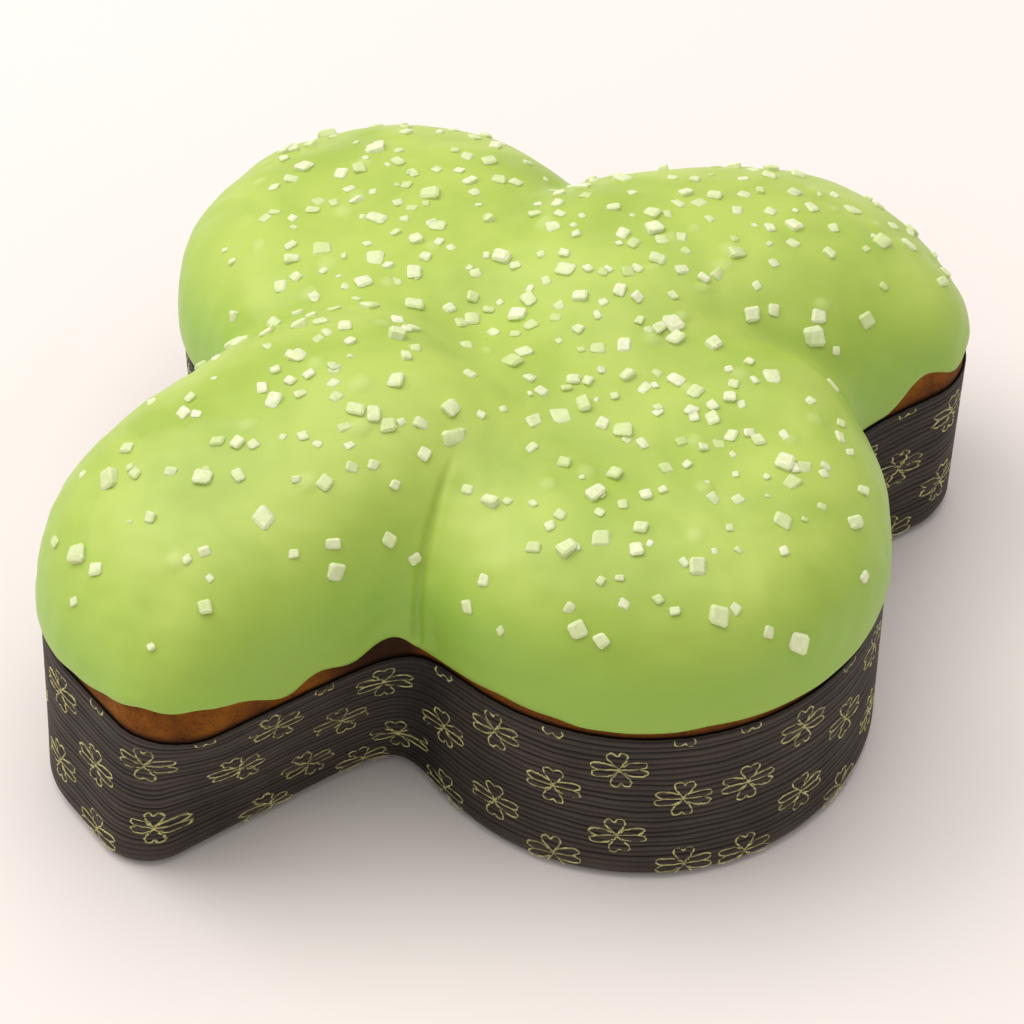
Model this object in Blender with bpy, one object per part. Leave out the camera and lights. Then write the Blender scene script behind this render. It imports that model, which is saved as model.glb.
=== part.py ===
"""Colomba, the dove-shaped easter loaf, iced and baked in its own paper case.

Three solids: a paper case, the browned loaf that fills it and domes out of it, and a coat of
icing with sugar nibs stuck in it. The outline in plan is four lobes blended together.
"""

import bmesh
import bpy
import numpy as np
from mathutils import Matrix, Vector

# plan of the dove at the rim of the case, sizes in millimetres, tail towards -X and head towards +X
RIM = {
    "tail": {"centre": (-69.9, -2.6), "half": (70.5, 47.2), "corners": (20.0, 46.0),
             "turn": 4.5, "taper": 0.10},
    "head": {"centre": (73.1, 0.2), "half": (71.0, 48.5), "corners": (18.0, 43.0),
             "turn": -9.5, "taper": -0.22},
    "near_wing": {"centre": (13.7, -56.0), "radius": 67.0},
    "far_wing": {"centre": (4.8, 64.3), "radius": 59.2},
}
# the same plan where the wall meets the floor of the case
FOOT = {
    "tail": {"centre": (-71.9, -3.8), "half": (72.5, 34.0), "corners": (16.0, 34.0),
             "turn": 4.0, "taper": 0.06},
    "head": {"centre": (72.7, -0.8), "half": (69.5, 46.3), "corners": (18.0, 43.0),
             "turn": -9.5, "taper": -0.22},
    "near_wing": {"centre": (12.1, -57.7), "radius": 66.5},
    "far_wing": {"centre": (4.8, 64.8), "radius": 58.2},
}
NOTCH_BLEND = 7.5        # how widely two lobes run into each other at a notch

# paper case
WALL_HEIGHT = 55.0
PAPER = 0.8
FOOT_ROUNDING = 4.0
BREAD_GAP = 0.4          # between the paper and the loaf

# rise of the loaf above the rim: at the tip of the lobe, and where the lobe meets the middle
RISE = {"tail": (18.0, 50.0), "head": (22.0, 44.0), "near_wing": (30.0, 36.0),
        "far_wing": (19.0, 35.0)}
CROWN = 8.0              # what the middle of the loaf adds on top of that
CROWN_REACH = 150.0
SHOULDER = 42.0          # how far in from the edge a lobe is at its full height
PROFILE_IN = 3.0         # exponents of the puffed profile
PROFILE_UP = 3.05

# icing
ICING_GAP = 0.3
ICING_THICKNESS = 2.6
ICING_THINNING = 0.55    # share of the thickness left at the lower edge
LIP = 0.5
# height of the icing's lower edge over the rim of the case, by direction from the middle in degrees;
# where it is over 2 mm, crust shows
ICING_EDGE = [(0.5, 7), (8.5, 5), (14.5, 2), (33, 1.6), (46, 4), (59, 1.8), (77, 5), (90.5, 2),
              (120.5, 1.6), (134.5, 5), (150, 2.5), (170, 1.4), (182.5, 1.4), (186.5, 3.5), (191.5, 8),
              (196.5, 11.5), (201.5, 12), (204.5, 7.5), (207, 2), (209, 7.5), (212.5, 4), (216, 9),
              (219, 9), (223, 3.2), (228, 1.4), (237.5, 3.8), (248.5, 4.5), (251, 2.2), (259.5, 2.2),
              (267.5, 3.2), (280.5, 2.2), (289.5, 1.4), (334, 1.4), (336.5, 11), (338, 11), (339.5, 5.5),
              (342, 8), (350, 9.5)]

# sugar nibs
NIB_COUNT = 155
NIB_SIZE = (4.6, 7.2)
NIB_HEIGHT = (2.6, 3.8)
NIB_SUNK = 1.0
NIB_SPACING = 8.5
NIB_NARROWER = (0.65, 1.0)
NIB_UNEVEN = 0.10        # how far a corner strays, as a share of the size
NIB_LEAN = 0.12          # radians
NIB_FULL_DEPTH = 45.0    # nibs grow sparser from this far in towards the rim
NIB_STEEPEST = 0.55      # no nib lies on icing whose normal points up less than this
NIB_SEED = 11

SIDES = 90               # points around each section
DOME_RINGS = (0.998, 0.99, 0.972, 0.935, 0.875, 0.78, 0.64, 0.45, 0.23)
TURN_SPACING = 14.0      # mm of outline that one radian of turning counts for
MM = 0.001


def wing_distance(x, y, lobe):
    """Signed distance to a round wing, negative inside."""
    cx, cy = lobe["centre"]
    return np.hypot(x - cx, y - cy) - lobe["radius"]


def body_distance(x, y, lobe):
    """Signed distance to the tail or the head, a tapered box with unlike corners."""
    cx, cy = lobe["centre"]
    half_length, half_width = lobe["half"]
    turn = np.radians(lobe["turn"])
    along = np.cos(turn) * (x - cx) + np.sin(turn) * (y - cy)
    across = np.cos(turn) * (y - cy) - np.sin(turn) * (x - cx)
    width = half_width * (1 + lobe["taper"] * along / half_length)
    corner = np.where(across < 0, lobe["corners"][0], np.minimum(lobe["corners"][1], width - 1))
    over_x = np.abs(along) - half_length + corner
    over_y = np.abs(across) - width + corner
    outside = np.hypot(np.maximum(over_x, 0), np.maximum(over_y, 0))
    return outside + np.minimum(np.maximum(over_x, over_y), 0) - corner


def lobe_distances(x, y, plan):
    """Signed distances to the four lobes, stacked."""
    return np.stack([
        body_distance(x, y, plan["tail"]),
        body_distance(x, y, plan["head"]),
        wing_distance(x, y, plan["near_wing"]),
        wing_distance(x, y, plan["far_wing"]),
    ])


def blended_distance(x, y, plan):
    """Signed distance to the whole dove, with filleted notches."""
    distances = lobe_distances(x, y, plan)
    nearest = distances.min(0)
    return nearest - NOTCH_BLEND * np.log(np.exp((nearest - distances) / NOTCH_BLEND).sum(0))


def outline(directions, plan, inset=0.0):
    """Points of the plan, moved in by inset, one in each direction from the middle."""
    ray = np.stack([np.cos(directions), np.sin(directions)], 1)
    near = np.full(len(directions), 10.0)
    far = np.full(len(directions), 220.0)
    for _ in range(40):
        middle = (near + far) / 2
        inside = blended_distance(ray[:, 0] * middle, ray[:, 1] * middle, plan) < -inset
        near = np.where(inside, middle, near)
        far = np.where(inside, far, middle)
    return ray * near[:, None]


def even_directions(count, plan):
    """Directions whose outline points lie evenly along the outline, and closer where it turns."""
    fine = np.linspace(-np.pi, np.pi, 3601)
    steps = np.diff(outline(fine, plan), axis=0)
    heading = np.unwrap(np.arctan2(steps[:, 1], steps[:, 0]))
    turning = np.abs(np.diff(heading, append=heading[0] + 2 * np.pi))
    run = np.concatenate([[0], np.cumsum(np.hypot(*steps.T) + TURN_SPACING * turning)])
    return np.interp(np.arange(count) * run[-1] / count, run, fine)


def dome_rise(x, y):
    """Height of the loaf above the rim of the case."""
    distances = lobe_distances(x, y, RIM)
    weights = np.exp((distances.min(0) - distances) / (2 * NOTCH_BLEND))
    weights /= weights.sum(0)
    reach = np.clip(np.hypot(x, y) / CROWN_REACH, 0, 1)
    rises = np.array([RISE[name] for name in ("tail", "head", "near_wing", "far_wing")])
    rise_here = sum(w * (root + (tip - root) * reach ** 3) for w, (tip, root) in zip(weights, rises))
    inside = -blended_distance(x, y, RIM) - PAPER - BREAD_GAP
    depth = np.clip(inside / SHOULDER, 0, 1)
    puffed = (1 - (1 - depth) ** PROFILE_IN) ** (1 / PROFILE_UP)
    return puffed * (rise_here + CROWN * (1 - reach ** 2))


def bread_sections(directions):
    """Plan points of the loaf's edge, and the share of the way out at which the icing ends."""
    rim = outline(directions, RIM, PAPER + BREAD_GAP)
    edge = np.interp(np.degrees(directions), *zip(*ICING_EDGE), period=360)
    inner, outer = np.full(len(directions), 0.9), np.ones(len(directions))
    for _ in range(40):
        middle = (inner + outer) / 2
        above = dome_rise(rim[:, 0] * middle, rim[:, 1] * middle) > edge
        inner = np.where(above, middle, inner)
        outer = np.where(above, outer, middle)
    return rim, inner


def dome_grid(rim, shares):
    """Points of the loaf's top, one ring for each share of the way out to the rim."""
    plan = rim[None] * shares[..., None]
    height = WALL_HEIGHT + dome_rise(plan[..., 0], plan[..., 1])
    return np.concatenate([plan, height[..., None]], -1)


def grid_normals(grid):
    """Outward normals of a grid whose rings run anticlockwise and climb to the top."""
    around = np.roll(grid, -1, 1) - np.roll(grid, 1, 1)
    up = np.gradient(grid, axis=0)
    normals = np.cross(around, up)
    return normals / np.linalg.norm(normals, axis=-1, keepdims=True)


def loft(rings, start, end, turned=()):
    """Vertices and triangles of a closed solid: a start point, rings of equal count, an end point.

    The bands numbered in turned are split along their other diagonal.
    """
    count = len(rings[0])
    vertices = [start] + [point for ring in rings for point in ring] + [end]
    last = len(vertices) - 1
    faces = []
    for i in range(count):
        j = (i + 1) % count
        faces.append((0, 1 + j, 1 + i))
        faces.append((last, last - count + i, last - count + j))
        for k in range(len(rings) - 1):
            a, b = 1 + k * count, 1 + (k + 1) * count
            if k in turned:
                faces.append((a + i, a + j, b + i))
                faces.append((a + j, b + j, b + i))
            else:
                faces.append((a + i, a + j, b + j))
                faces.append((a + i, b + j, b + i))
    return vertices, faces


def ring_at(plan, height):
    """A level ring."""
    return np.column_stack([plan, np.full(len(plan), height)])


def new_object(name, vertices, faces, material, collection):
    """A mesh object from points in millimetres."""
    mesh = bpy.data.meshes.new(name)
    mesh.from_pydata([Vector(v) * MM for v in vertices], [], faces)
    mesh.materials.append(material)
    mesh.validate()
    item = bpy.data.objects.new(name, mesh)
    collection.objects.link(item)
    return item


def new_material(name, colour, roughness, metallic=0.0):
    """A plain material of one colour."""
    material = bpy.data.materials.new(name)
    material.use_nodes = True
    shader = material.node_tree.nodes["Principled BSDF"]
    shader.inputs["Base Color"].default_value = (*colour, 1)
    shader.inputs["Roughness"].default_value = roughness
    shader.inputs["Metallic"].default_value = metallic
    return material


def wall_plan(directions, height, inset):
    """Plan of the case wall at a height, between the foot and the rim."""
    share = height / WALL_HEIGHT
    return outline(directions, FOOT, inset) * (1 - share) + outline(directions, RIM, inset) * share


def make_case(directions, collection):
    """The paper case: floor, rounded foot, flared wall and an open rim."""
    outer = [
        ring_at(wall_plan(directions, 0, FOOT_ROUNDING), 0.0),
        ring_at(wall_plan(directions, 1.2, 1.2), 1.2),
        ring_at(wall_plan(directions, FOOT_ROUNDING, 0), FOOT_ROUNDING),
        ring_at(wall_plan(directions, WALL_HEIGHT, 0), WALL_HEIGHT),
    ]
    inner = [
        ring_at(wall_plan(directions, WALL_HEIGHT, PAPER), WALL_HEIGHT),
        ring_at(wall_plan(directions, FOOT_ROUNDING, PAPER), FOOT_ROUNDING + PAPER / 2),
        ring_at(wall_plan(directions, 1.2, PAPER + 1.2), 1.2 + PAPER),
        ring_at(wall_plan(directions, 0, PAPER + FOOT_ROUNDING), PAPER),
    ]
    # the inner face is split like the outer one, so that the paper is evenly thick
    bands = range(len(outer), len(outer) + len(inner) - 1)
    vertices, faces = loft(outer + inner, (0, 0, 0), (0, 0, PAPER), turned=bands)
    paper = new_material("brown baking paper", (0.030, 0.022, 0.018), 0.75)
    return new_object("paper_case", vertices, faces, paper, collection)


def make_bread(directions, rim, edge_share, collection):
    """The loaf: it fills the case and rises over the rim, with bare crust up to the icing."""
    inset = PAPER + BREAD_GAP
    foot = PAPER + BREAD_GAP
    body = [
        ring_at(wall_plan(directions, 0, inset + FOOT_ROUNDING), foot),
        ring_at(wall_plan(directions, 1.2, inset + 1.6), foot + 1.6),
        ring_at(wall_plan(directions, FOOT_ROUNDING, inset), foot + FOOT_ROUNDING + 0.8),
    ]
    crust = [1 - (1 - edge_share) * part for part in (0.0, 0.3)]
    iced = [edge_share * ring for ring in (1.0, *DOME_RINGS)]
    top = dome_grid(rim, np.stack(crust + iced))
    peak = dome_grid(np.zeros((1, 2)), np.ones((1, 1)))[0, 0]
    vertices, faces = loft(body + list(top), (0, 0, foot), peak)
    browned = new_material("browned crust", (0.230, 0.062, 0.014), 0.7)
    return new_object("bread", vertices, faces, browned, collection), top[len(crust):], peak


def make_icing(grid, peak, collection):
    """The coat of icing over the loaf: two faces, closed along a rounded lower lip."""
    normals = grid_normals(grid)
    up = np.array([0, 0, 1.0])
    thickness = np.full((len(grid), 1, 1), ICING_THICKNESS)
    thickness[:3, 0, 0] *= np.linspace(ICING_THINNING, 1, 4)[:3]
    inner = grid + normals * ICING_GAP
    outer = grid + normals * (ICING_GAP + thickness)
    outer[0] += up * LIP
    lip = grid[0] + normals[0] * (ICING_GAP + 0.4 * thickness[0]) - up * LIP / 2
    rings = list(inner[::-1]) + [lip] + list(outer)
    # the inner face is split like the loaf under it, so that the two stay parallel
    vertices, faces = loft(rings, peak + up * ICING_GAP, peak + up * (ICING_GAP + ICING_THICKNESS),
                           turned=range(len(grid) - 1))
    glaze = new_material("pistachio icing", (0.460, 0.620, 0.130), 0.35)
    return new_object("icing", vertices, faces, glaze, collection)


def nib_places(icing, count):
    """Points and normals spread over the icing, close together on top and few near the rim."""
    icing.data.calc_loop_triangles()
    random = np.random.default_rng(NIB_SEED)
    triangles = []
    weights = []
    for triangle in icing.data.loop_triangles:
        corners = [icing.data.vertices[i].co / MM for i in triangle.vertices]
        normal = triangle.normal
        middle = sum(corners, Vector()) / 3
        if normal.z < NIB_STEEPEST:
            continue
        triangles.append((corners, normal))
        depth = -blended_distance(np.array([middle.x]), np.array([middle.y]), RIM)[0]
        crowding = min(1.0, 0.25 + depth / NIB_FULL_DEPTH)
        weights.append(triangle.area * crowding)
    weights = np.array(weights) / sum(weights)
    places = []
    for _ in range(count * 40):
        corners, normal = triangles[random.choice(len(triangles), p=weights)]
        a, b = sorted(random.random(2))
        point = corners[0] * a + corners[1] * (b - a) + corners[2] * (1 - b)
        if all((point - other).length > NIB_SPACING for other, _ in places):
            places.append((point, normal.copy()))
        if len(places) == count:
            break
    return places


def add_nibs(icing):
    """Fuses the sugar nibs, small uneven blocks, to the icing."""
    collection = bpy.data.collections.new("nibs")
    bpy.context.scene.collection.children.link(collection)
    random = np.random.default_rng(NIB_SEED + 1)
    for number, (point, normal) in enumerate(nib_places(icing, NIB_COUNT)):
        length = random.uniform(*NIB_SIZE)
        size = (length, length * random.uniform(*NIB_NARROWER), random.uniform(*NIB_HEIGHT))
        mesh = bpy.data.meshes.new(f"nib_{number}")
        shape = bmesh.new()
        bmesh.ops.create_cube(shape, size=1.0)
        for corner in shape.verts:
            jitter = Vector(random.uniform(-NIB_UNEVEN, NIB_UNEVEN, 3))
            corner.co = Vector(c * s for c, s in zip(corner.co + jitter, size))
        shape.to_mesh(mesh)
        shape.free()
        lean = Matrix.Rotation(random.uniform(-NIB_LEAN, NIB_LEAN), 4, "X")
        spin = Matrix.Rotation(random.uniform(0, 2 * np.pi), 4, "Z")
        stand = normal.to_track_quat("Z", "Y").to_matrix().to_4x4()
        centre = point + normal * (size[2] / 2 - NIB_SUNK)
        mesh.transform(Matrix.Scale(MM, 4) @ Matrix.Translation(centre) @ stand @ lean @ spin)
        collection.objects.link(bpy.data.objects.new(mesh.name, mesh))
    union = icing.modifiers.new("nibs", "BOOLEAN")
    union.operation = "UNION"
    union.operand_type = "COLLECTION"
    union.collection = collection
    union.solver = "EXACT"
    bpy.context.view_layer.update()
    fused = bpy.data.meshes.new_from_object(icing.evaluated_get(bpy.context.evaluated_depsgraph_get()))
    icing.modifiers.clear()
    icing.data = fused
    for nib in list(collection.objects):
        bpy.data.objects.remove(nib)
    bpy.data.collections.remove(collection)


def shade(item, angle):
    """Smooth shading with sharp edges kept."""
    item.data.shade_smooth()
    item.data.set_sharp_from_angle(angle=np.radians(angle))


def build():
    """Makes the three solids in a collection of their own."""
    for item in list(bpy.data.objects):
        bpy.data.objects.remove(item)
    collection = bpy.data.collections.new("colomba")
    bpy.context.scene.collection.children.link(collection)
    directions = even_directions(SIDES, RIM)
    rim, edge_share = bread_sections(directions)
    case = make_case(directions, collection)
    bread, iced_grid, peak = make_bread(directions, rim, edge_share, collection)
    icing = make_icing(iced_grid, peak, collection)
    add_nibs(icing)
    shade(case, 40)
    shade(bread, 40)
    shade(icing, 30)


build()
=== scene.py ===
"""Colomba easter bread in its printed paper case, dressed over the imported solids."""

from math import radians

import bpy
import numpy as np
from mathutils import Euler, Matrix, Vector


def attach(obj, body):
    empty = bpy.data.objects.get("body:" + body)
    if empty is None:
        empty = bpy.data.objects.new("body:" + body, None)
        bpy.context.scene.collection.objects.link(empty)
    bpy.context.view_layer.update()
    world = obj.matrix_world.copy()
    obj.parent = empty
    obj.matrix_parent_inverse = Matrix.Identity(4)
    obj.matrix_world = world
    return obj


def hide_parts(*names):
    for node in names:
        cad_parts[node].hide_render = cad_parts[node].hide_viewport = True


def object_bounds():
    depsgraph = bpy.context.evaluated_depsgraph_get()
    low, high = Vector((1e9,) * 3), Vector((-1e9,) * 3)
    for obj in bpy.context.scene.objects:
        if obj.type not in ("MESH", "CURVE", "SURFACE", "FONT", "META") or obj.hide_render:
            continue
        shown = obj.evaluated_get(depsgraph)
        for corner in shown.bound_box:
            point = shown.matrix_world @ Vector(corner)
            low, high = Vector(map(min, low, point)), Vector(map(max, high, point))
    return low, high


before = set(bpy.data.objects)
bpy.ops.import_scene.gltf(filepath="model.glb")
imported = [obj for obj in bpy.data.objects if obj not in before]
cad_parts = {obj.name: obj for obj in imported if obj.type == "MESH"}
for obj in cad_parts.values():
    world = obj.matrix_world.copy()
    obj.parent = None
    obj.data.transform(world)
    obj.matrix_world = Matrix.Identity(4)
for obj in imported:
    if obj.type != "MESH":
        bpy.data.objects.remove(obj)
cad_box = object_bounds()


# Paper case
# The loaf is baked and sold in a case of thin dark brown paper, pressed into the shape of a dove
# from a fluted sheet whose fine ridges run level round the wall. It is open at the rim, stands on
# its own floor, and the loaf fills it.
RIM = {
    "tail": {"centre": (-69.9, -2.6), "half": (70.5, 47.2), "corners": (20.0, 46.0),
             "turn": 4.5, "taper": 0.10},
    "head": {"centre": (73.1, 0.2), "half": (71.0, 48.5), "corners": (18.0, 43.0),
             "turn": -9.5, "taper": -0.22},
    "near_wing": {"centre": (13.7, -56.0), "radius": 67.0},
    "far_wing": {"centre": (4.8, 64.3), "radius": 59.2},
}
FOOT = {
    "tail": {"centre": (-71.9, -3.8), "half": (72.5, 34.0), "corners": (16.0, 34.0),
             "turn": 4.0, "taper": 0.06},
    "head": {"centre": (72.7, -0.8), "half": (69.5, 46.3), "corners": (18.0, 43.0),
             "turn": -9.5, "taper": -0.22},
    "near_wing": {"centre": (12.1, -57.7), "radius": 66.5},
    "far_wing": {"centre": (4.8, 64.8), "radius": 58.2},
}
NOTCH_BLEND = 7.5
WALL_HEIGHT = 55.0
FOOT_ROUNDING = 4.0
PAPER = 0.5
CASE_INSET = 0.3
FLUTE_PITCH = 2.05
FLUTE_DEPTH = 0.32
FLUTE_SHAPE = ((0.0, 1.0), (0.2, 0.42), (0.5, 0.0), (0.8, 0.42))
FOOT_STEP = 1.2
RIM_SAG = 0.15
SEARCH_STEPS = 40
COLUMNS = 641
MM = 0.001


def lobe_distances(x, y, plan):
    """Signed distances in plan to the tail, the head and the two wings, negative inside."""
    distances = []
    for name in ("tail", "head"):
        lobe = plan[name]
        half_length, half_width = lobe["half"]
        turn = radians(lobe["turn"])
        away_x, away_y = x - lobe["centre"][0], y - lobe["centre"][1]
        along = np.cos(turn) * away_x + np.sin(turn) * away_y
        across = np.cos(turn) * away_y - np.sin(turn) * away_x
        width = half_width * (1 + lobe["taper"] * along / half_length)
        corner = np.where(across < 0, lobe["corners"][0], np.minimum(lobe["corners"][1], width - 1))
        over_x = np.abs(along) - half_length + corner
        over_y = np.abs(across) - width + corner
        outside = np.hypot(np.maximum(over_x, 0), np.maximum(over_y, 0))
        distances.append(outside + np.minimum(np.maximum(over_x, over_y), 0) - corner)
    for name in ("near_wing", "far_wing"):
        centre_x, centre_y = plan[name]["centre"]
        distances.append(np.hypot(x - centre_x, y - centre_y) - plan[name]["radius"])
    return np.stack(distances)


def dove_distance(x, y, plan):
    """Signed distance in plan to the whole dove, with filleted notches."""
    distances = lobe_distances(x, y, plan)
    nearest = distances.min(0)
    return nearest - NOTCH_BLEND * np.log(np.exp((nearest - distances) / NOTCH_BLEND).sum(0))


def outline(directions, plan, inset=0.0):
    """Points of the plan, moved in by inset, one in each direction from the middle."""
    ray = np.stack([np.cos(directions), np.sin(directions)], -1)
    near = np.full(len(directions), 10.0)
    far = np.full(len(directions), 220.0)
    for _ in range(SEARCH_STEPS):
        middle = (near + far) / 2
        inside = dove_distance(ray[:, 0] * middle, ray[:, 1] * middle, plan) < -inset
        near = np.where(inside, middle, near)
        far = np.where(inside, far, middle)
    return ray * near[:, None]


def even_directions(count):
    """Directions of points spread evenly along the rim, closer where it turns, the last on the first."""
    fine = np.linspace(-np.pi, np.pi, 7201)
    steps = np.diff(outline(fine, RIM), axis=0)
    heading = np.unwrap(np.arctan2(steps[:, 1], steps[:, 0]))
    turning = np.abs(np.diff(heading, append=heading[0] + 2 * np.pi))
    run = np.concatenate([[0], np.cumsum(np.hypot(*steps.T) + 14.0 * turning)])
    return np.interp(np.linspace(0, run[-1], count), run, fine)


def wrapped_grid(name, points, **layers):
    """A closed skin made of a grid primitive, whose vertices take the places of points (mm).

    Its first and last columns meet in a seam, and a row of one point is a pole: both are merged.
    Layers are values for the material, kept as attributes.
    """
    rows, columns = points.shape[:2]
    bpy.ops.object.select_all(action="DESELECT")
    bpy.ops.mesh.primitive_grid_add(x_subdivisions=columns - 1, y_subdivisions=rows - 1, calc_uvs=False)
    skin = bpy.context.object
    skin.name = skin.data.name = name
    skin.data.vertices.foreach_set("co", (points * MM).astype(np.float32).ravel())
    for layer, values in layers.items():
        values = np.broadcast_to(values, (rows, columns)).astype(np.float32)
        skin.data.attributes.new(layer, "FLOAT", "POINT").data.foreach_set("value", values.ravel())
    bpy.ops.object.mode_set(mode="EDIT")
    bpy.ops.mesh.select_all(action="SELECT")
    bpy.ops.mesh.remove_doubles(threshold=0.000004)
    bpy.ops.mesh.normals_make_consistent(inside=False)
    bpy.ops.object.mode_set(mode="OBJECT")
    bpy.ops.object.shade_smooth()
    return skin


def level(plan, height):
    """Points at one height, or each at its own."""
    return np.column_stack([plan, np.broadcast_to(height, len(plan))])


directions = even_directions(COLUMNS)
rim_plan = outline(directions, RIM, CASE_INSET)
run = np.concatenate([[0], np.cumsum(np.hypot(*np.diff(rim_plan, axis=0).T))])
girth = run[-1]
wall_plans = {inset: [outline(directions, plan, CASE_INSET + inset) for plan in (FOOT, RIM)]
              for inset in (0.0, 1.0, PAPER, FOOT_STEP, FOOT_STEP + PAPER, FOOT_ROUNDING,
                            FOOT_ROUNDING + PAPER)}


def wall(height, inset=0.0):
    """The wall's plan at a height, or at one height for each column, moved in by inset."""
    foot, rim = wall_plans[inset]
    share = np.reshape(height, (-1, 1)) / WALL_HEIGHT
    return foot * (1 - share) + rim * share


def sway(along, height):
    """How far the flutes stray up and down as they run round the wall."""
    turn = 2 * np.pi * along / girth
    fade = np.clip(np.minimum(height - 4.0, WALL_HEIGHT - 1.0 - height) / 8, 0, 1)
    return fade * (0.45 * np.sin(6 * turn + 0.07 * height) + 0.25 * np.sin(17 * turn - 0.12 * height + 2)
                   + 0.13 * np.sin(41 * turn + 0.33 * height + 1) + 0.07 * np.sin(89 * turn - 0.5 * height))


random = np.random.default_rng(3)
flute_count = int((WALL_HEIGHT - FOOT_ROUNDING - 1.6) / FLUTE_PITCH)
valleys = WALL_HEIGHT - 0.9 - FLUTE_PITCH * np.arange(flute_count + 1)[::-1]
valleys[1:-1] += random.uniform(-0.2, 0.2, flute_count - 1)
rows = [level(rim_plan * 0, 0.0), level(wall(0, FOOT_ROUNDING), 0.0),
        level(wall(FOOT_STEP, FOOT_STEP), FOOT_STEP), level(wall(FOOT_ROUNDING), FOOT_ROUNDING)]
grooves = [np.zeros(COLUMNS)] * 4
for number in range(flute_count + 1):
    for share, depth in FLUTE_SHAPE:
        if number == flute_count and share:
            continue
        below, above = valleys[number], valleys[min(number + 1, flute_count)]
        base = below + (above - below) * share
        uneven = 1 + 0.35 * np.sin(2 * np.pi * run / girth * (5 + number % 7) + number * 1.9)
        groove = depth * np.clip(uneven, 0.5, 1.25) * np.clip((base - 3.5) / 4, 0.2, 1)
        height = base + sway(run, base)
        plan = wall(height)
        rows.append(level(plan + (wall(height, 1.0) - plan) * FLUTE_DEPTH * groove[:, None], height))
        grooves.append(groove)
ragged = 0.12 * np.sin(2 * np.pi * run / girth * 143) * np.sin(2 * np.pi * run / girth * 57 + 1)
inner_rows = [level(wall(WALL_HEIGHT), WALL_HEIGHT - RIM_SAG + ragged),
              level(wall(WALL_HEIGHT, PAPER), WALL_HEIGHT - RIM_SAG + ragged),
              level(wall(WALL_HEIGHT - 6, PAPER), WALL_HEIGHT - 6),
              level(wall(FOOT_ROUNDING, PAPER), FOOT_ROUNDING + PAPER / 2),
              level(wall(FOOT_STEP, FOOT_STEP + PAPER), FOOT_STEP + PAPER),
              level(wall(0, FOOT_ROUNDING + PAPER), PAPER), level(rim_plan * 0, PAPER)]
rows += inner_rows
grooves += [np.zeros(COLUMNS)] * len(inner_rows)
# fold marks the notches between the lobes, where the paper is painted darker as shade
lobe_gap = np.diff(np.sort(lobe_distances(*rim_plan.T, RIM), 0)[:2], axis=0)[0]
case = wrapped_grid("case_paper", np.stack(rows), groove=np.stack(grooves),
                    fold=np.exp(-(lobe_gap / 16) ** 2))


def linear(hex_colour):
    """An sRGB hex colour as linear RGBA."""
    parts = [int(hex_colour[i:i + 2], 16) / 255 for i in (1, 3, 5)]
    return (*[p / 12.92 if p <= 0.04045 else ((p + 0.055) / 1.055) ** 2.4 for p in parts], 1)


def add_node(material, kind, settings, links):
    """Adds a node, with its settings and with links from other nodes' outputs.

    A setting whose name starts with a small letter is the node's own, and any other is a socket's
    value. A colour ramp's stops are given as "stops".
    """
    made = material.node_tree.nodes.new(kind)
    for key, value in settings.items():
        if key == "stops":
            while len(made.color_ramp.elements) < len(value):
                made.color_ramp.elements.new(0.5)
            for element, (position, colour) in zip(made.color_ramp.elements, value):
                element.position, element.color = position, linear(colour)
        elif isinstance(key, str) and key[0].islower():
            setattr(made, key, value)
        else:
            made.inputs[key].default_value = value
    for key, output in links.items():
        material.node_tree.links.new(output, made.inputs[key])
    return made


# Uncoated kraft paper, dyed dark brown and fluted: matt, with painted shade making its valleys nearly black
# and its notches darker, with blotches about 17 mm wide, and fibres of 0.7 mm, coarser than real ones so
# that they show
paper = bpy.data.materials.new("fluted brown baking paper")
paper.use_nodes = True
place = add_node(paper, "ShaderNodeTexCoord", {}, {})
valley = add_node(paper, "ShaderNodeAttribute", {"attribute_name": "groove"}, {})
blotch = add_node(paper, "ShaderNodeTexNoise", {"Scale": 60.0, "Detail": 5.0},
                  {"Vector": place.outputs["Object"]})
crest_colour = add_node(paper, "ShaderNodeValToRGB", {"stops": ((0.3, "#3A312B"), (0.7, "#4C423A"))},
                        {"Fac": blotch.outputs["Fac"]})
# painted shade: the valleys of the flutes are darkened to near black
valley_shade_share = add_node(paper, "ShaderNodeMapRange", {"From Min": 0.08, "From Max": 0.9, "To Max": 0.95},
                       {"Value": valley.outputs["Fac"]})
paper_colour = add_node(paper, "ShaderNodeMix", {"data_type": "RGBA", 7: linear("#0B0705")},
                        {0: valley_shade_share.outputs["Result"], 6: crest_colour.outputs["Color"]})
# painted shade: the paper at the notches between the lobes is darkened towards near black
notch_shade_mask = add_node(paper, "ShaderNodeAttribute", {"attribute_name": "fold"}, {})
notch_shade_share = add_node(paper, "ShaderNodeMapRange", {"To Max": 0.7}, {"Value": notch_shade_mask.outputs["Fac"]})
notch_shaded_colour = add_node(paper, "ShaderNodeMix", {"data_type": "RGBA", 7: linear("#0B0705")},
                         {0: notch_shade_share.outputs["Result"], 6: paper_colour.outputs[2]})
fibre = add_node(paper, "ShaderNodeTexNoise", {"Scale": 1400.0, "Detail": 3.0},
                 {"Vector": place.outputs["Object"]})
fibre_bump = add_node(paper, "ShaderNodeBump", {"Strength": 0.3, "Distance": 0.0001},
                      {"Height": fibre.outputs["Fac"]})
shader = paper.node_tree.nodes["Principled BSDF"]
shader.inputs["Roughness"].default_value = 0.6
shader.inputs["Specular IOR Level"].default_value = 0.25
paper.node_tree.links.new(notch_shaded_colour.outputs[2], shader.inputs["Base Color"])
paper.node_tree.links.new(fibre_bump.outputs["Normal"], shader.inputs["Normal"])
case.data.materials.append(paper)
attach(case, "root")
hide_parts("paper_case")


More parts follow.
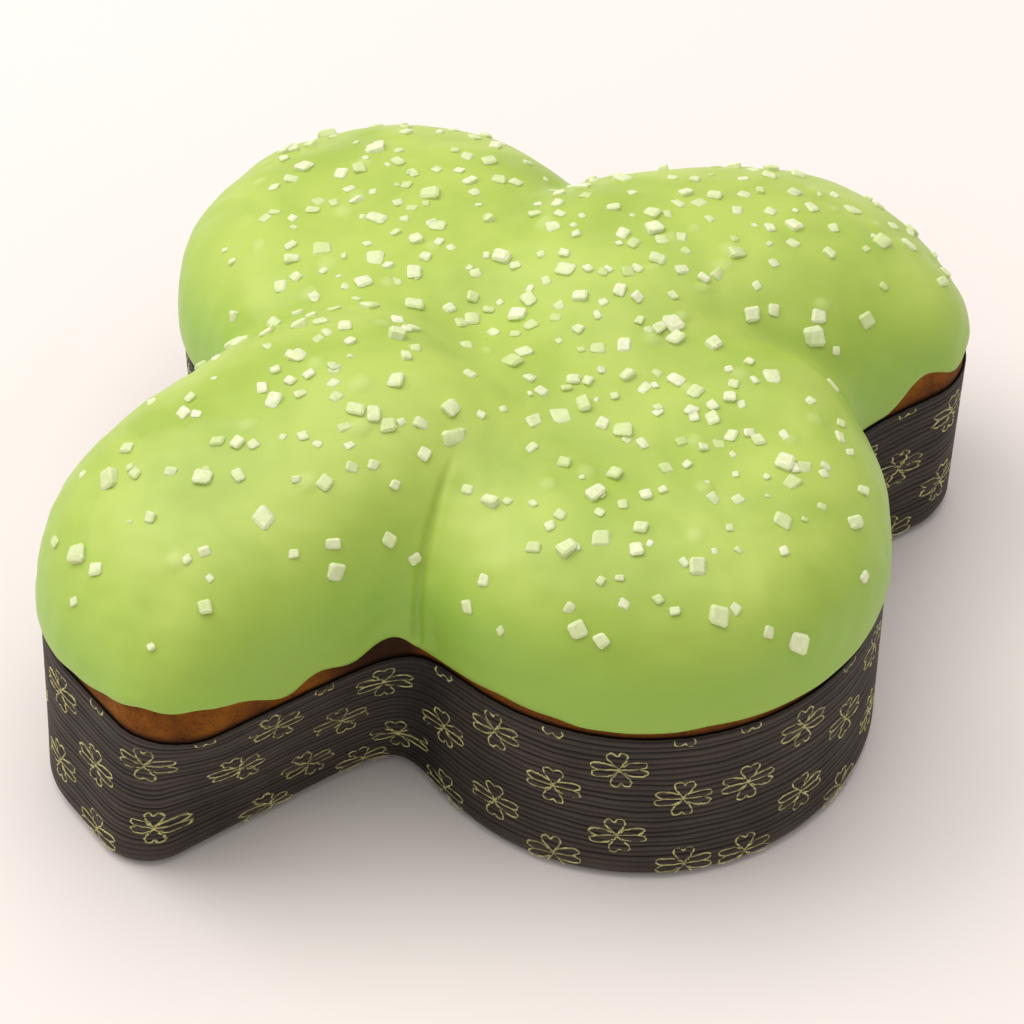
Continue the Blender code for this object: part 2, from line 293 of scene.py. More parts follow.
# Clover print
# Outlines of four-leaf clovers, printed on the paper in pale gold ink, in staggered rows. The ink
# follows the flutes, and the clovers at the rim and the foot are cut by the edge of the sheet.
CLOVER_COLUMNS = 47
CLOVER_START = 219.7
CLOVER_HEIGHTS = ((5.2, 31.6, 58.3), (17.0, 44.0))
INK_WIDTH = 0.5
INK_LIFT = 0.07
INK_SUNK = 0.04
PRINT_LOW = 1.4
PRINT_HIGH = WALL_HEIGHT - 0.5
UPRIGHT_LEAF = ((0.3, 0), (1.6, 1.0), (3.1, 2.1), (4.6, 2.9), (5.9, 2.7), (6.5, 1.7), (6.2, 0.7), (5.1, 0))
LEVEL_LEAF = ((1.2, 1.3), (2.6, 2.3), (4.6, 2.7), (6.6, 2.8), (7.7, 2.1), (7.6, 1.0), (6.5, 0.4), (5.5, 0))


def leaf_line(half, angle):
    """A leaf's outline, from half of it drawn along X, rounded and turned to its angle."""
    line = np.array(half + tuple((x, -y) for x, y in half[-2::-1]))
    for _ in range(2):
        cut = np.stack([0.75 * line[:-1] + 0.25 * line[1:], 0.25 * line[:-1] + 0.75 * line[1:]], 1)
        line = np.concatenate([line[:1], cut.reshape(-1, 2), line[-1:]])
    turn = radians(angle)
    return line @ np.array([[np.cos(turn), np.sin(turn)], [-np.sin(turn), np.cos(turn)]])


clover = [leaf_line(UPRIGHT_LEAF, 90), leaf_line(UPRIGHT_LEAF, 270), leaf_line(LEVEL_LEAF, 0),
          leaf_line(LEVEL_LEAF, 180), np.column_stack([np.linspace(-5.6, 5.6, 15), np.zeros(15)])]


def on_wall(along, height, lift):
    """Points of the fluted wall, from the run along the rim, the height and the lift off the paper."""
    along = np.mod(along, girth)
    foot, rim, foot_in, rim_in = [
        np.column_stack([np.interp(along, run, plan[:, axis]) for axis in (0, 1)])
        for plan in (*wall_plans[0.0], *wall_plans[1.0])]
    share = (height / WALL_HEIGHT)[:, None]
    plan = foot * (1 - share) + rim * share
    inwards = foot_in * (1 - share) + rim_in * share - plan
    base = height - sway(along, height)
    phase = np.interp(base, valleys, np.arange(len(valleys))) % 1
    groove = np.maximum(0, 1 - np.minimum(phase, 1 - phase) / 0.3) * np.clip((base - 3.5) / 4, 0.2, 1)
    return level(plan + inwards * (FLUTE_DEPTH * groove - lift)[:, None], height), groove


ink_points, ink_faces, ink_grooves = [], [], []
ink_count = 0
random = np.random.default_rng(5)
for column in range(CLOVER_COLUMNS):
    for clover_height in CLOVER_HEIGHTS[column % 2]:
        middle = np.array([CLOVER_START + column * girth / CLOVER_COLUMNS, clover_height])
        middle += random.normal(0, 0.5, 2)
        lean = random.normal(0, 0.07)
        ends = on_wall(middle[0] + np.array([-3.0, 3.0]), np.clip(middle[[1, 1]], 3, 54), np.zeros(2))[0]
        stretch = np.linalg.norm(ends[1] - ends[0]) / 6
        for line in clover:
            line = line @ np.array([[np.cos(lean), np.sin(lean)], [-np.sin(lean), np.cos(lean)]])
            line = (line + random.normal(0, 0.06, line.shape)) / (stretch, 1) + middle
            keep = (line[:, 1] > PRINT_LOW) & (line[:, 1] < PRINT_HIGH)
            for part in np.split(np.arange(len(line)), np.flatnonzero(np.diff(keep)) + 1):
                if not keep[part[0]] or len(part) < 3:
                    continue
                piece = line[part]
                ahead = np.gradient(piece, axis=0)
                ahead /= np.linalg.norm(ahead, axis=1, keepdims=True)
                across = np.column_stack([-ahead[:, 1], ahead[:, 0]]) * INK_WIDTH / 2
                for side, lift in ((-1, -INK_SUNK), (0, INK_LIFT), (1, -INK_SUNK)):
                    spots = piece + across * side
                    points, groove = on_wall(spots[:, 0], spots[:, 1], np.full(len(part), lift))
                    ink_points.append(points)
                    ink_grooves.append(groove)
                count = len(part)
                left, top, right = (ink_count + count * k for k in range(3))
                for k in range(count - 1):
                    ink_faces += [(left + k, top + k, top + k + 1, left + k + 1),
                                  (top + k, right + k, right + k + 1, top + k + 1),
                                  (right + k, left + k, left + k + 1, right + k + 1)]
                ink_faces += [(left, right, top), (left + count - 1, top + count - 1, right + count - 1)]
                ink_count += 3 * count
print_mesh = bpy.data.meshes.new("clover_print")
print_mesh.from_pydata((np.concatenate(ink_points) * MM).tolist(), [], ink_faces)
print_mesh.attributes.new("groove", "FLOAT", "POINT").data.foreach_set(
    "value", np.concatenate(ink_grooves).astype(np.float32))
clovers = bpy.data.objects.new("clover_print", print_mesh)
bpy.context.scene.collection.objects.link(clovers)
bpy.ops.object.select_all(action="DESELECT")
clovers.select_set(True)
bpy.context.view_layer.objects.active = clovers
bpy.ops.object.mode_set(mode="EDIT")
bpy.ops.mesh.select_all(action="SELECT")
bpy.ops.mesh.normals_make_consistent(inside=False)
bpy.ops.object.mode_set(mode="OBJECT")

# Pale gold flexographic ink, a thin film worn in patches of about 2 mm, and darker in the valleys of the
# flutes
ink = bpy.data.materials.new("pale gold printing ink")
ink.use_nodes = True
place = add_node(ink, "ShaderNodeTexCoord", {}, {})
wear = add_node(ink, "ShaderNodeTexNoise", {"Scale": 450.0, "Detail": 3.0},
                {"Vector": place.outputs["Object"]})
ink_tone = add_node(ink, "ShaderNodeValToRGB", {"stops": ((0.35, "#8A8450"), (0.6, "#D2CC86"))},
                    {"Fac": wear.outputs["Fac"]})
valley = add_node(ink, "ShaderNodeAttribute", {"attribute_name": "groove"}, {})
darker_in_valleys = add_node(ink, "ShaderNodeMapRange", {"From Min": 0.2, "From Max": 1.0, "To Max": 0.6},
                {"Value": valley.outputs["Fac"]})
ink_colour = add_node(ink, "ShaderNodeMix", {"data_type": "RGBA", 7: linear("#3A3424")},
                      {0: darker_in_valleys.outputs["Result"], 6: ink_tone.outputs["Color"]})
shader = ink.node_tree.nodes["Principled BSDF"]
shader.inputs["Roughness"].default_value = 0.45
ink.node_tree.links.new(ink_colour.outputs[2], shader.inputs["Base Color"])
clovers.data.materials.append(ink)
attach(clovers, "root")


# Loaf
# The sweet yeast dough has risen out of the case and browned. Its crust shows only in a band above
# the rim, where the icing stops short of the paper.
LOAF_INSET = 1.2
RISE = {"tail": (18.0, 50.0), "head": (22.0, 44.0), "near_wing": (30.0, 36.0), "far_wing": (19.0, 35.0)}
CROWN = 8.0
CROWN_REACH = 150.0
SHOULDER = 42.0
PROFILE_IN = 3.0
PROFILE_UP = 3.05
FOLD_DEPTH = 6.0
LOAF_STEP = 1.6
# direction of the notch where the crust is painted dark as shade, in degrees
SHADED_NOTCH = 217.0
# direction from the middle, degrees, and how high over the rim the icing ends there, mm
ICING_EDGE = ((0.5, 7), (8.5, 5), (14.5, 2), (33, 1.6), (46, 4), (59, 1.8), (77, 5), (90.5, 2),
              (120.5, 1.6), (134.5, 5), (150, 2.5), (170, 1.4), (182.5, 1.4), (186.5, 3.5), (191.5, 8),
              (196.5, 11.5), (201.5, 12), (204.5, 7.5), (207, 2), (209, 7.5), (212.5, 4), (216, 9),
              (219, 9), (223, 3.2), (228, 1.4), (237.5, 3.8), (248.5, 4.5), (251, 2.2), (259.5, 2.2),
              (267.5, 3.2), (280.5, 2.2), (289.5, 1.4), (335, 1.4), (337, 11), (338, 11), (339.5, 5.5),
              (342, 8), (350, 9.5))


def puffed_rise(x, y):
    """Height over the rim of the case, before the crumb evens it out."""
    distances = lobe_distances(x, y, RIM)
    weights = np.exp((distances.min(0) - distances) / (2 * NOTCH_BLEND))
    weights /= weights.sum(0)
    reach = np.clip(np.hypot(x, y) / CROWN_REACH, 0, 1)
    rise = sum(share * (root + (tip - root) * reach ** 3)
               for share, (tip, root) in zip(weights, (RISE[name] for name in RIM)))
    inside = -dove_distance(x, y, RIM) - LOAF_INSET
    depth = np.clip(inside / SHOULDER, 0, 1)
    puffed = (1 - (1 - depth) ** PROFILE_IN) ** (1 / PROFILE_UP)
    apart = np.diff(np.sort(distances, 0)[:2], axis=0)[0]
    fold = FOLD_DEPTH * np.exp(-(apart / 9) ** 2) * np.clip(inside / 12, 0, 1)
    fold *= np.clip((np.hypot(x, y) - 42) / 32, 0, 1) ** 1.5
    return puffed * (rise + CROWN * (1 - reach ** 2)) - fold


def loaf_rise(x, y):
    """Height of the loaf's top over the rim of the case, its hard folds evened out."""
    reach = np.clip((-dove_distance(x, y, RIM) - LOAF_INSET) * 0.3, 0, 6)
    spots = [(0.0, 0.0)] + [(np.cos(a), np.sin(a)) for a in np.arange(8) * np.pi / 4]
    return sum(puffed_rise(x + reach * dx, y + reach * dy) for dx, dy in spots) / len(spots)


loaf_rim = outline(directions, RIM, LOAF_INSET)
turn = 2 * np.pi * run / girth
edge_height = np.interp(np.degrees(directions), *zip(*ICING_EDGE), period=360)
edge_height += 0.35 * np.sin(13 * turn + 1) + 0.3 * np.sin(29 * turn) + 0.2 * np.sin(61 * turn + 2)
edge_height = sum(np.roll(np.maximum(edge_height, 1.1)[:-1], shift) for shift in range(-2, 3)) / 5
edge_height = np.append(edge_height, edge_height[0])
low, high = np.full(COLUMNS, 0.9), np.ones(COLUMNS)
for _ in range(SEARCH_STEPS):
    middle = (low + high) / 2
    above = loaf_rise(loaf_rim[:, 0] * middle, loaf_rim[:, 1] * middle) > edge_height
    low, high = np.where(above, middle, low), np.where(above, high, middle)
iced_share = low


def loaf_ring(share):
    """Points of the loaf's top at a share of the way out to its edge."""
    plan = loaf_rim * np.reshape(share, (-1, 1))
    return level(plan, WALL_HEIGHT + loaf_rise(plan[:, 0], plan[:, 1]))


# the loaf's own wall, in place of the case's where both have an entry
wall_plans.update({inset: [outline(directions, plan, inset) for plan in (FOOT, RIM)]
                   for inset in (LOAF_INSET, LOAF_INSET + LOAF_STEP, LOAF_INSET + FOOT_ROUNDING)})
rows = [level(loaf_rim * 0, LOAF_INSET), level(wall(0, LOAF_INSET + FOOT_ROUNDING), LOAF_INSET),
        level(wall(LOAF_INSET, LOAF_INSET + LOAF_STEP), LOAF_INSET + LOAF_STEP),
        level(wall(FOOT_ROUNDING, LOAF_INSET), 6.0)]
bare = 1 - iced_share
rows += [loaf_ring(1 - bare * part ** 2) for part in np.linspace(0, 1.25, 14)]
rows += [loaf_ring(iced_share * share) for share in (0.97, 0.9, 0.8, 0.67, 0.5, 0.32, 0.15)]
rows.append(loaf_ring(iced_share * 0))
rows = np.stack(rows)
# the crust is painted near black as shade where it meets the rim, and in the notch between tail and near
# wing
rim_shade_rows = np.exp(-np.maximum(rows[..., 2] - WALL_HEIGHT, 0) / 1.2)
in_notch = np.exp(-((np.degrees(directions) % 360 - SHADED_NOTCH) / 7) ** 4)
loaf = wrapped_grid("loaf_crust", rows, scorch=np.maximum(rim_shade_rows, 0.9 * in_notch))

# Baked crust of sweet dough: matt warm brown in patches of about 11 mm, finely pored, with darker
# specks of 0.9 mm, and painted shade, near black, just above the rim and in the notch between tail and near
# wing
crust = bpy.data.materials.new("browned dough crust")
crust.use_nodes = True
place = add_node(crust, "ShaderNodeTexCoord", {}, {})
bake = add_node(crust, "ShaderNodeTexNoise", {"Scale": 90.0, "Detail": 6.0, "Roughness": 0.65},
                {"Vector": place.outputs["Object"]})
bake_colour = add_node(crust, "ShaderNodeValToRGB",
                       {"stops": ((0.3, "#5A2E04"), (0.52, "#834B08"), (0.72, "#9A5D10"))},
                       {"Fac": bake.outputs["Fac"]})
speck = add_node(crust, "ShaderNodeTexNoise", {"Scale": 1100.0, "Detail": 2.0},
                 {"Vector": place.outputs["Object"]})
speck_share = add_node(crust, "ShaderNodeMapRange", {"From Min": 0.55, "From Max": 0.75, "To Max": 0.7},
                       {"Value": speck.outputs["Fac"]})
crust_colour = add_node(crust, "ShaderNodeMix", {"data_type": "RGBA", 7: linear("#3A1A08")},
                        {0: speck_share.outputs["Result"], 6: bake_colour.outputs["Color"]})
# painted shade by the rim and in the notch
by_rim = add_node(crust, "ShaderNodeAttribute", {"attribute_name": "scorch"}, {})
scorch = add_node(crust, "ShaderNodeMix", {"data_type": "RGBA", 7: linear("#1C0D05")},
                  {0: by_rim.outputs["Fac"], 6: crust_colour.outputs[2]})
crust_bump = add_node(crust, "ShaderNodeBump", {"Strength": 0.5, "Distance": 0.0004},
                      {"Height": speck.outputs["Fac"]})
shader = crust.node_tree.nodes["Principled BSDF"]
shader.inputs["Roughness"].default_value = 0.75
shader.inputs["Specular IOR Level"].default_value = 0.15
crust.node_tree.links.new(scorch.outputs[2], shader.inputs["Base Color"])
crust.node_tree.links.new(crust_bump.outputs["Normal"], shader.inputs["Normal"])
loaf.data.materials.append(crust)
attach(loaf, "root")
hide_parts("bread")


# Icing
# A coat of pistachio icing, poured over the loaf and set. It ends in a rounded lip over the rim, is
# softly dented where it settled, and swells over the nibs that sank into it.
ICING_GAP = 0.3
ICING_THICKNESS = 2.6
LIP_REACH = 1.7
EDGE_SHARE = 0.55
CREASE_DEPTH = 1.6
CREASE_WIDTH = 2.4
ICING_ROWS = 118
SUNKEN_NIBS = 45
SCATTER_TRIES = 5000
SCATTER_BOX = ((-138, -120), (140, 122))


def sways(seed, wavelength, count=14):
    """Plane waves in random directions, whose sum is a soft field of about the wavelength (mm)."""
    random = np.random.default_rng(seed)
    headings = random.normal(size=(count, 3))
    headings /= np.linalg.norm(headings, axis=1, keepdims=True)
    lengths = wavelength * random.uniform(0.7, 1.5, (count, 1))
    return headings * 2 * np.pi / lengths, random.uniform(0, 6.28, count)


def field(points, waves):
    """Value of such a field, mostly between -1 and 1."""
    headings, phases = waves
    return np.sin(points @ headings.T + phases).sum(-1) * np.sqrt(2 / len(phases)) / 1.6


broad, middling, fine = sways(21, 55.0), sways(22, 24.0), sways(23, 9.0)


def dents(points):
    """How far the icing's face stands proud or sinks, at points on the loaf (mm)."""
    return 0.5 * field(points, broad) + 0.42 * field(points, middling) + 0.13 * field(points, fine)


def loaf_normal(x, y):
    """Outward normals of the loaf's top."""
    step = 0.4
    slope_x = (loaf_rise(x + step, y) - loaf_rise(x - step, y)) / (2 * step)
    slope_y = (loaf_rise(x, y + step) - loaf_rise(x, y - step)) / (2 * step)
    normals = np.stack([-slope_x, -slope_y, np.ones_like(x)], -1)
    return normals / np.linalg.norm(normals, axis=-1, keepdims=True)


def scatter(count, spacing, seed, crowding):
    """Up to count places in plan on the icing, spacing apart, as crowded as crowding says."""
    random = np.random.default_rng(seed)
    tries = random.uniform(*SCATTER_BOX, (SCATTER_TRIES, 2))
    places = []
    for place in tries[random.random(len(tries)) < crowding(*tries.T)]:
        if not places or np.hypot(*(np.array(places) - place).T).min() > spacing:
            places.append(place)
        if len(places) == count:
            break
    return np.array(places)


def sugar_crowding(x, y):
    """Share of full density of the sugar at places in plan."""
    return np.clip((-dove_distance(x, y, RIM) - 6) / 40, 0, 1) ** 1.2


sunken = scatter(SUNKEN_NIBS, 6.0, 31, sugar_crowding)
sunken_points = level(sunken, WALL_HEIGHT + loaf_rise(sunken[:, 0], sunken[:, 1]))
sunken_size = np.random.default_rng(32).uniform(1.5, 2.6, SUNKEN_NIBS)

steps = 1 - np.linspace(0, 1, ICING_ROWS) ** 1.9
under = np.stack([loaf_ring(iced_share * share) for share in steps])
around = np.gradient(under[:, :-1], axis=1)
around[:, 0] = under[:, 1] - under[:, -2]
around[:, -1] = under[:, 0] - under[:, -3]
around = np.concatenate([around, around[:, :1]], 1)
normals = np.cross(around, np.gradient(under, axis=0))
normals[-1] = (0, 0, 1)
normals /= np.linalg.norm(normals, axis=-1, keepdims=True)
strides = np.linalg.norm(np.diff(under, axis=0), axis=-1)
climb = np.concatenate([np.zeros((1, COLUMNS)), np.cumsum(strides, 0)])
rounding = np.sqrt(np.clip(1 - (1 - np.clip(climb / LIP_REACH, 0, 1)) ** 2, 0, 1))
swell = np.zeros(under.shape[:2])
for point, size in zip(sunken_points, sunken_size):
    apart = np.linalg.norm(under - point, axis=-1) / size
    swell = np.maximum(swell, np.exp(-apart ** 4))
thickness = ICING_THICKNESS * (EDGE_SHARE + (1 - EDGE_SHARE) * np.clip(climb / 22, 0, 1))
thickness += dents(under) * np.clip(climb / 8, 0, 1)
thickness += 0.35 * np.exp(-((climb - 3.0) / 2.0) ** 2) * (0.5 + 0.5 * field(under, middling))
tail_gap, _, wing_gap, _ = lobe_distances(under[..., 0], under[..., 1], RIM)
from_middle = np.hypot(under[..., 0], under[..., 1])
near_notch = (under[..., 1] < 0) * np.clip((from_middle - 48) / 14, 0, 1) * np.clip(climb / 6, 0, 1)
thickness -= CREASE_DEPTH * np.exp(-((tail_gap - wing_gap) / CREASE_WIDTH) ** 2) * near_notch
outer = under + normals * (ICING_GAP + rounding * thickness + 0.55 * swell)[..., None]
inner = under[::-13] + normals[::-13] * ICING_GAP * 0.7
# nothing stands proud of the solids' own box
low_corner, high_corner = np.array(cad_box[0]) / MM + 0.05, np.array(cad_box[1]) / MM - 0.05
skin_rows = np.clip(np.concatenate([inner, outer]), low_corner, high_corner)
swell_rows = np.concatenate([np.zeros(inner.shape[:2]), swell])
# steep faces of the icing and its inner side are painted greener and darker, as shade
steep = np.clip((0.85 - normals[..., 2]) / 0.6, 0, 1)
side_shade_rows = np.concatenate([np.ones(inner.shape[:2]), steep])
glaze = wrapped_grid("icing_coat", skin_rows, swell=swell_rows, steep=side_shade_rows)

# Pistachio icing on a white chocolate base: opaque, satin, a little light passing under its face,
# clouded over some 36 mm, with ripples of 4 mm, and painted greener and darker on its steep sides as shade
icing = bpy.data.materials.new("pistachio icing, set")
icing.use_nodes = True
place = add_node(icing, "ShaderNodeTexCoord", {}, {})
cloud = add_node(icing, "ShaderNodeTexNoise", {"Scale": 28.0, "Detail": 3.0, "Distortion": 0.6},
                 {"Vector": place.outputs["Object"]})
icing_tone = add_node(icing, "ShaderNodeValToRGB", {"stops": ((0.32, "#A6C04F"), (0.6, "#BAD061"))},
                      {"Fac": cloud.outputs["Fac"]})
# painted shade: greener and darker on the steep sides
side_shade_mask = add_node(icing, "ShaderNodeAttribute", {"attribute_name": "steep"}, {})
side_shaded_colour = add_node(icing, "ShaderNodeMix", {"data_type": "RGBA", 7: linear("#9CC24A")},
                       {0: side_shade_mask.outputs["Fac"], 6: icing_tone.outputs["Color"]})
sugar_under = add_node(icing, "ShaderNodeAttribute", {"attribute_name": "swell"}, {})
sugar_share = add_node(icing, "ShaderNodeMapRange", {"To Max": 0.3}, {"Value": sugar_under.outputs["Fac"]})
icing_colour = add_node(icing, "ShaderNodeMix", {"data_type": "RGBA", 7: linear("#D3E39A")},
                        {0: sugar_share.outputs["Result"], 6: side_shaded_colour.outputs[2]})
ripple = add_node(icing, "ShaderNodeTexNoise", {"Scale": 240.0, "Detail": 2.0},
                  {"Vector": place.outputs["Object"]})
icing_bump = add_node(icing, "ShaderNodeBump", {"Strength": 0.12, "Distance": 0.0006},
                      {"Height": ripple.outputs["Fac"]})
shader = icing.node_tree.nodes["Principled BSDF"]
shader.inputs["Roughness"].default_value = 0.4
shader.inputs["Specular IOR Level"].default_value = 0.4
shader.inputs["Subsurface Weight"].default_value = 0.25
shader.inputs["Subsurface Scale"].default_value = 0.003
shader.inputs["Subsurface Radius"].default_value = (1.0, 0.9, 0.3)
icing.node_tree.links.new(icing_colour.outputs[2], shader.inputs["Base Color"])
icing.node_tree.links.new(icing_bump.outputs["Normal"], shader.inputs["Normal"])
glaze.data.materials.append(icing)
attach(glaze, "root")
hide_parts("icing")


# Sugar nibs
# Pearl sugar, pressed and broken into blunt little blocks, strewn on the icing while it was wet.
# They lie at all angles, sunk by half their height or more, and closest on the middle of the loaf.
NIB_KINDS = 9
NIB_LENGTH = 3.5
NIB_SPREAD = 0.9
NIB_LENGTHS = (1.6, 6.0)
FAR_LENGTHS = (2.4, 4.8)
CRUMB_LENGTHS = (1.6, 3.3)
NIB_BREADTHS = (0.68, 1)
NIB_HEIGHTS = (0.5, 0.8)
NIB_SUNK = (0.5, 0.85)
NIB_LEAN = 0.13
# a block is made this much longer, for the corners that the bevel cuts off
CUT_CORNERS = 1.08
FRONT_NIBS = 320
FAR_NIBS = 90
CRUMBS = 120
DENSEST_SPOT = (24.0, 10.0)
DENSE_REACH = 26.0
TOWARDS_FRONT = (-0.373, -0.586, 0.719)

kinds = []
random = np.random.default_rng(41)
for number in range(NIB_KINDS):
    bpy.ops.object.select_all(action="DESELECT")
    bpy.ops.mesh.primitive_cube_add(size=1)
    block = bpy.context.object
    for corner in block.data.vertices:
        corner.co += Vector(random.uniform(-0.13, 0.13, 3))
    bpy.ops.object.mode_set(mode="EDIT")
    bpy.ops.mesh.select_all(action="SELECT")
    bpy.ops.mesh.bevel(offset=0.16, offset_type="OFFSET", segments=1, affect="EDGES")
    bpy.ops.mesh.quads_convert_to_tris()
    bpy.ops.object.mode_set(mode="OBJECT")
    corners = np.array([v.co for v in block.data.vertices])
    faces = np.array([p.vertices for p in block.data.polygons])
    kinds.append((corners, faces))
    bpy.data.objects.remove(block)


def faces_front(x, y):
    """Whether places on the loaf face the side it is seen from."""
    return loaf_normal(x, y) @ TOWARDS_FRONT >= 0.3


def front_crowding(x, y):
    """Share of full density on the slopes that face the front, closest on the middle of the loaf."""
    depth = -dove_distance(x, y, RIM)
    off_middle = np.hypot(x - DENSEST_SPOT[0], y - DENSEST_SPOT[1]) / DENSE_REACH
    crowding = (0.06 + 0.12 * np.clip(depth / 45, 0, 1)) * (1 + 1.3 * np.exp(-off_middle ** 2))
    return np.where(faces_front(x, y) & (depth > 4), crowding, 0)


def far_crowding(x, y):
    """Share of full density on the slopes that face away from the front, and none elsewhere."""
    return np.where(faces_front(x, y), 0, sugar_crowding(x, y) ** 0.5)


front = [(x, y, np.clip(random.normal(NIB_LENGTH, NIB_SPREAD), *NIB_LENGTHS))
         for x, y in scatter(FRONT_NIBS, 4.2, 44, front_crowding)]
far = [(x, y, random.uniform(*FAR_LENGTHS)) for x, y in scatter(FAR_NIBS, 5.5, 42, far_crowding)]
crumbs = [(x, y, random.uniform(*CRUMB_LENGTHS)) for x, y in scatter(CRUMBS, 4.5, 43, sugar_crowding)]
nib_points, nib_faces, nib_coats = [], [], []
nib_total = 0
for x, y, length in (*front, *far, *crumbs):
    corners, faces = kinds[random.integers(NIB_KINDS)]
    size = CUT_CORNERS * length * np.array([1, random.uniform(*NIB_BREADTHS), random.uniform(*NIB_HEIGHTS)])
    normal = Vector(loaf_normal(np.array([x]), np.array([y]))[0])
    under_it = np.array([x, y, WALL_HEIGHT + loaf_rise(np.array([x]), np.array([y]))[0]])
    face = under_it + np.array(normal) * (ICING_GAP + ICING_THICKNESS + dents(under_it[None])[0])
    lean = random.normal(0, NIB_LEAN) if random.random() < 0.9 else random.uniform(-0.5, 0.5)
    turned = normal.to_track_quat("Z", "Y").to_matrix() @ Euler((lean, lean * 0.6, 0)).to_matrix()
    turned = np.array(turned @ Euler((0, 0, random.uniform(0, 6.28))).to_matrix())
    sunk = random.uniform(*NIB_SUNK)
    points = (corners * size) @ turned.T + face + np.array(normal) * size[2] * (0.5 - sunk)
    points = np.clip(points, low_corner, high_corner)
    nib_points.append(points)
    nib_faces.append(faces + nib_total)
    nib_coats.append(np.full(len(points), np.clip(random.normal(0.3 + 0.7 * (sunk - 0.6), 0.22), 0, 1)))
    nib_total += len(points)
nib_mesh = bpy.data.meshes.new("sugar_nibs")
nib_mesh.from_pydata((np.concatenate(nib_points) * MM).tolist(), [], np.concatenate(nib_faces).tolist())
nib_mesh.attributes.new("coat", "FLOAT", "POINT").data.foreach_set(
    "value", np.concatenate(nib_coats).astype(np.float32))
nibs = bpy.data.objects.new("sugar_nibs", nib_mesh)
bpy.context.scene.collection.objects.link(nibs)
bpy.ops.object.select_all(action="DESELECT")
nibs.select_set(True)
bpy.context.view_layer.objects.active = nibs
bpy.ops.object.shade_smooth_by_angle(angle=radians(28))

# Pearl sugar: white, with grains of about 1 mm, a little translucent, tinted where a film of icing
# lies on it
sugar = bpy.data.materials.new("pearl sugar")
sugar.use_nodes = True
place = add_node(sugar, "ShaderNodeTexCoord", {}, {})
grain = add_node(sugar, "ShaderNodeTexNoise", {"Scale": 900.0, "Detail": 3.0},
                 {"Vector": place.outputs["Object"]})
sugar_tone = add_node(sugar, "ShaderNodeValToRGB", {"stops": ((0.3, "#DCE7AC"), (0.65, "#F0F4D4"))},
                      {"Fac": grain.outputs["Fac"]})
film = add_node(sugar, "ShaderNodeAttribute", {"attribute_name": "coat"}, {})
sugar_colour = add_node(sugar, "ShaderNodeMix", {"data_type": "RGBA", 7: linear("#C6D986")},
                        {0: film.outputs["Fac"], 6: sugar_tone.outputs["Color"]})
grain_bump = add_node(sugar, "ShaderNodeBump", {"Strength": 0.35, "Distance": 0.0003},
                      {"Height": grain.outputs["Fac"]})
shader = sugar.node_tree.nodes["Principled BSDF"]
shader.inputs["Roughness"].default_value = 0.5
shader.inputs["Subsurface Weight"].default_value = 0.3
shader.inputs["Subsurface Scale"].default_value = 0.002
shader.inputs["Subsurface Radius"].default_value = (1.0, 1.0, 0.7)
sugar.node_tree.links.new(sugar_colour.outputs[2], shader.inputs["Base Color"])
sugar.node_tree.links.new(grain_bump.outputs["Normal"], shader.inputs["Normal"])
nibs.data.materials.append(sugar)
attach(nibs, "root")
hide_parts("icing")


# Floor, light and camera
# A plain pale table, a broad soft light from the upper left and behind, and a long lens that looks
# down on the loaf from over its near notch.
# metres, and the picture's width and the focal length in pixels
CAMERA_TARGET = Vector((0.0212, 0.0229, 0.0))
CAMERA_DISTANCE = 1.3235
CAMERA_TILT = radians(46.0)
IMAGE_WIDTH = 1024
FOCAL_LENGTH = 4500
SENSOR_WIDTH = 36.0
AHEAD = Vector((0.5373, 0.8434, 0.0))
RIGHT = Vector((0.8434, -0.5373, 0.0))

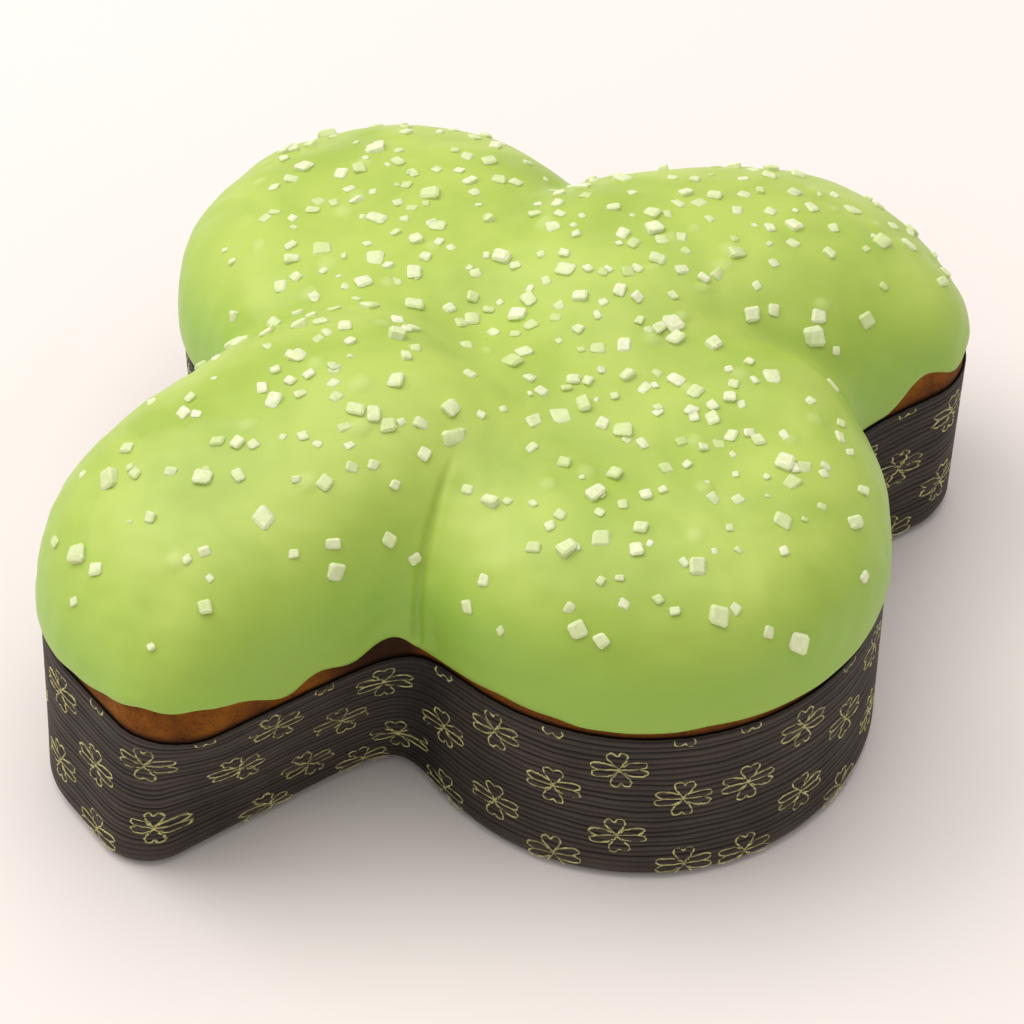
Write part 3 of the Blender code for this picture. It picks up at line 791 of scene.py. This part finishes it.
bpy.ops.object.select_all(action="DESELECT")
bpy.ops.mesh.primitive_plane_add(size=8, location=(0, 0, -0.0002))
floor = bpy.context.object
floor.name = "floor"
table = bpy.data.materials.new("pale matt table top")
table.use_nodes = True
place = add_node(table, "ShaderNodeTexCoord", {}, {})
haze = add_node(table, "ShaderNodeTexNoise", {"Scale": 1.5}, {"Vector": place.outputs["Object"]})
table_colour = add_node(table, "ShaderNodeValToRGB", {"stops": ((0.3, "#F1EAE6"), (0.7, "#F4EDEA"))},
                        {"Fac": haze.outputs["Fac"]})
shader = table.node_tree.nodes["Principled BSDF"]
shader.inputs["Roughness"].default_value = 0.8
shader.inputs["Specular IOR Level"].default_value = 0.2
table.node_tree.links.new(table_colour.outputs["Color"], shader.inputs["Base Color"])
floor.data.materials.append(table)


def add_light(name, place, size, power, colour):
    """A square area light that faces the loaf."""
    bpy.ops.object.light_add(type="AREA", location=place)
    lamp = bpy.context.object
    lamp.name = name
    lamp.data.size = size
    lamp.data.energy = power
    lamp.data.color = linear(colour)[:3]
    lamp.rotation_euler = (Vector((0, 0, 0.05)) - Vector(place)).to_track_quat("-Z", "Y").to_euler()


add_light("window", AHEAD * 0.7 - RIGHT * 1.85 + Vector((0, 0, 2.0)), 2.0, 29.5, "#FFFCFA")
add_light("ceiling", AHEAD * 0.4 - RIGHT * 0.15 + Vector((0, 0, 2.2)), 2.4, 30.0, "#FFFCFA")
world = bpy.data.worlds.new("pale room")
world.use_nodes = True
world.node_tree.nodes["Background"].inputs["Color"].default_value = linear("#FFFBF8")
world.node_tree.nodes["Background"].inputs["Strength"].default_value = 0.52
bpy.context.scene.world = world
# the plain view transform keeps the icing's green, which the default one turns grey
bpy.context.scene.view_settings.view_transform = "Standard"

camera_data = bpy.data.cameras.new("camera")
camera_data.sensor_width = SENSOR_WIDTH
camera_data.lens = SENSOR_WIDTH * FOCAL_LENGTH / IMAGE_WIDTH
camera_data.clip_end = 20
camera = bpy.data.objects.new("camera", camera_data)
bpy.context.scene.collection.objects.link(camera)
camera.location = CAMERA_TARGET + CAMERA_DISTANCE * (
    Vector((0, 0, np.sin(CAMERA_TILT))) - AHEAD * np.cos(CAMERA_TILT))
camera.rotation_euler = (CAMERA_TARGET - camera.location).to_track_quat("-Z", "Y").to_euler()
bpy.context.scene.camera = camera
